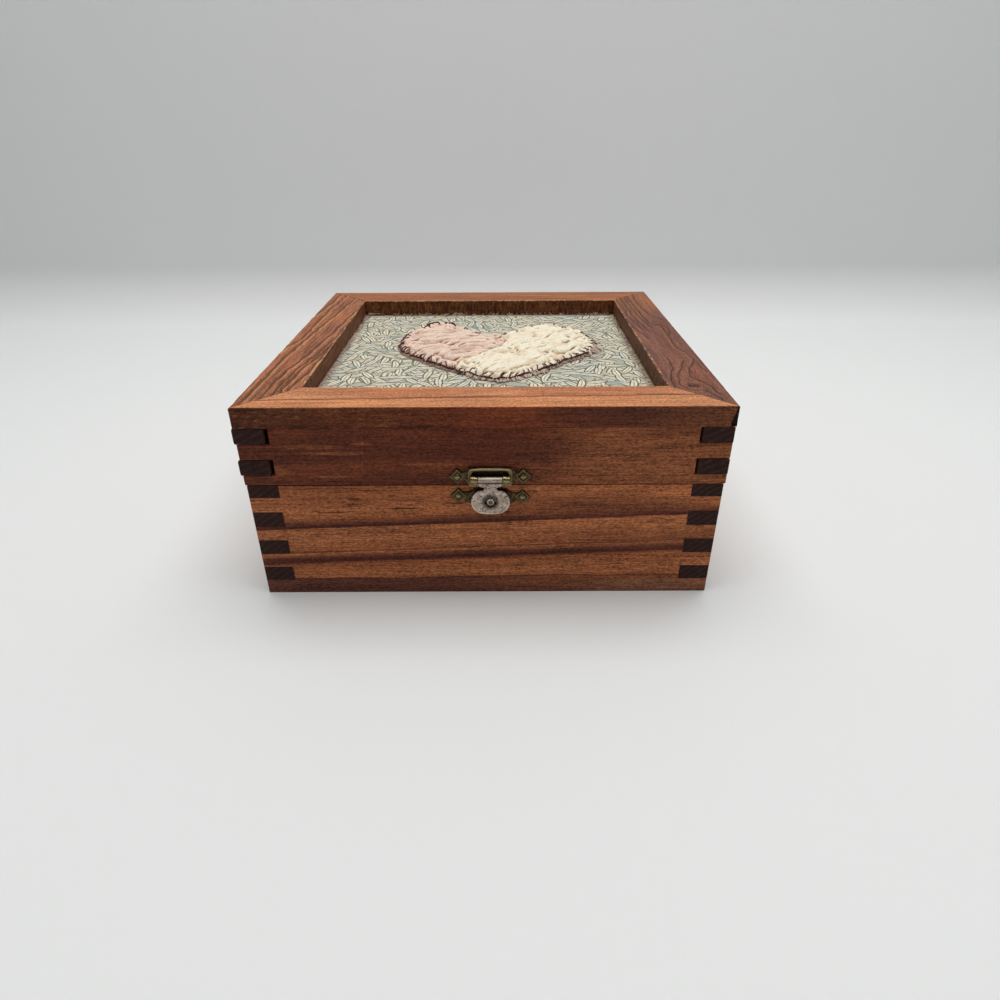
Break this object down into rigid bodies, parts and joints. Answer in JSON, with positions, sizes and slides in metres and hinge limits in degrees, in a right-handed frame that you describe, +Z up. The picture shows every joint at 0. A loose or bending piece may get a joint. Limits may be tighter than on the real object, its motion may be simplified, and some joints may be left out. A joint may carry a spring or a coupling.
{
  "type": "keepsake box",
  "caption": "Square wooden keepsake box with a finger-jointed carcass, a hinged lid with a cloth-covered panel and quilted heart, and a small metal catch on the front.",
  "frame": {"origin": "middle of the underside, on the table", "axes": "+X to the right seen from the front, +Y from front to back, +Z up; the catch is on the -Y face"},
  "size_m": [0.205, 0.2108, 0.0917],
  "materials": {
    "base_wood": "oiled boards with dark streaks, dark end grain",
    "lid_wood": "oiled red-brown boards, dark end grain",
    "frame_wood": "oiled, open grain standing up on two sides",
    "plywood": "plain sanded",
    "printed_cotton": "printed with small leaves",
    "pink_cotton": "crinkled old quilt cotton",
    "cream_cotton": "crinkled old quilt cotton",
    "antique_brass": "darkened, worn bright at the edges",
    "worn_nickel": "worn plating"
  },
  "bodies": {
    "base": {"base_front_board": "base_wood", "base_back_board": "base_wood", "base_left_board": "base_wood", "base_right_board": "base_wood", "bottom_panel": "plywood", "keeper_plate": "antique_brass", "keeper_knob": "worn_nickel", "keeper_nail_left": "antique_brass", "keeper_nail_right": "antique_brass", "hinge_left_pin": "antique_brass", "hinge_left_base_leaf": "antique_brass", "hinge_left_base_nail_left": "antique_brass", "hinge_left_base_nail_right": "antique_brass", "hinge_right_pin": "antique_brass", "hinge_right_base_leaf": "antique_brass", "hinge_right_base_nail_left": "antique_brass", "hinge_right_base_nail_right": "antique_brass"},
    "lid": {"lid_front_board": "lid_wood", "lid_back_board": "lid_wood", "lid_left_board": "lid_wood", "lid_right_board": "lid_wood", "lid_panel": "plywood", "printed_cloth": "printed_cotton", "frame_front": "frame_wood", "frame_right": "frame_wood", "frame_back": "frame_wood", "frame_left": "frame_wood", "heart_pink_patch": "pink_cotton", "heart_cream_patch": "cream_cotton", "catch_plate": "antique_brass", "catch_nail_left": "antique_brass", "catch_nail_right": "antique_brass", "catch_pin": "antique_brass", "hinge_left_lid_leaf": "antique_brass", "hinge_left_lid_nail_left": "antique_brass", "hinge_left_lid_nail_right": "antique_brass", "hinge_right_lid_leaf": "antique_brass", "hinge_right_lid_nail_left": "antique_brass", "hinge_right_lid_nail_right": "antique_brass"},
    "flap": {"catch_flap": "worn_nickel"}
  },
  "joints": [
    {"name": "lid_hinge", "type": "hinge", "parent": "base", "child": "lid", "pos_m": [0, 0.1035, 0.05635], "axis": [-1, 0, 0], "range_deg": [0, 105]},
    {"name": "catch_flap", "type": "hinge", "parent": "lid", "child": "flap", "pos_m": [0.0022, -0.10385, 0.06], "axis": [-1, 0, 0], "range_deg": [0, 160]}
  ]
}
